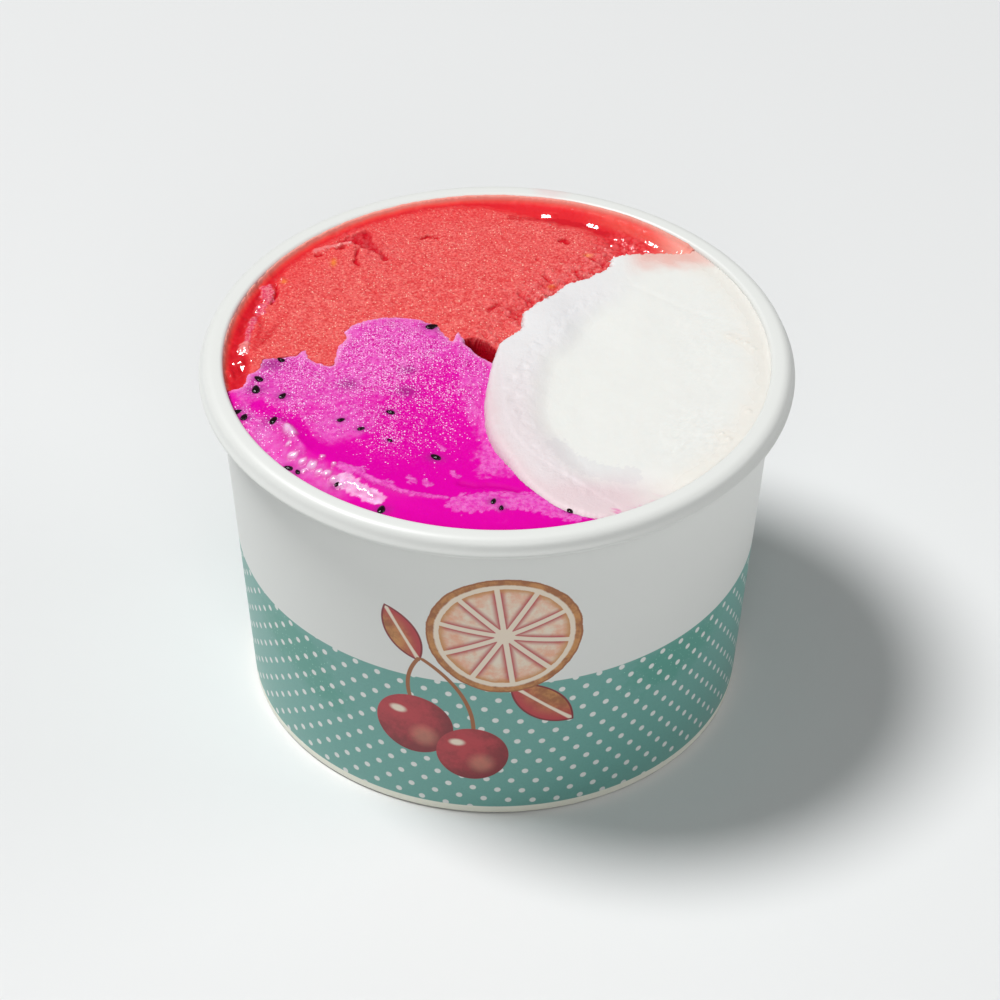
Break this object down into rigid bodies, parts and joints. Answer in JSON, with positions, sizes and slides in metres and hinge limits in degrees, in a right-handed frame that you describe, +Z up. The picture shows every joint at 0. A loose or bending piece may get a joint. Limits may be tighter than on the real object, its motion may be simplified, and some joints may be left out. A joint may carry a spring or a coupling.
{
  "type": "gelato cup",
  "caption": "Tapered round paper cup with a rolled rim and a recessed bottom, filled to the rim with red, magenta and white gelato.",
  "frame": {"origin": "middle of the ring that the cup's foot stands on", "axes": "+Z up along the cup's axis; -Y towards the viewer, where the magenta gelato lies at the left and the white at the right; the paper's seam is at +Y"},
  "size_m": [0.095, 0.095, 0.0628],
  "materials": {
    "cup_paper": "white coated paper board with a soft sheen, printed with a teal band of white dots and a small fruit motif",
    "red_gelato": "frozen strawberry gelato, frosty fine grain, glossy dark red melt along the wall",
    "magenta_gelato": "frozen dragon fruit gelato, smooth and moist with frosty patches, small black seeds",
    "white_gelato": "frozen lemon gelato, smooth and slightly translucent",
    "seeds": "wet black dragon fruit seeds"
  },
  "bodies": {
    "root": {"cup_sleeve": "cup_paper", "cup_bottom": "cup_paper", "strawberry_gelato": "red_gelato", "dragonfruit_gelato": "magenta_gelato", "lemon_gelato": "white_gelato"}
  },
  "joints": []
}
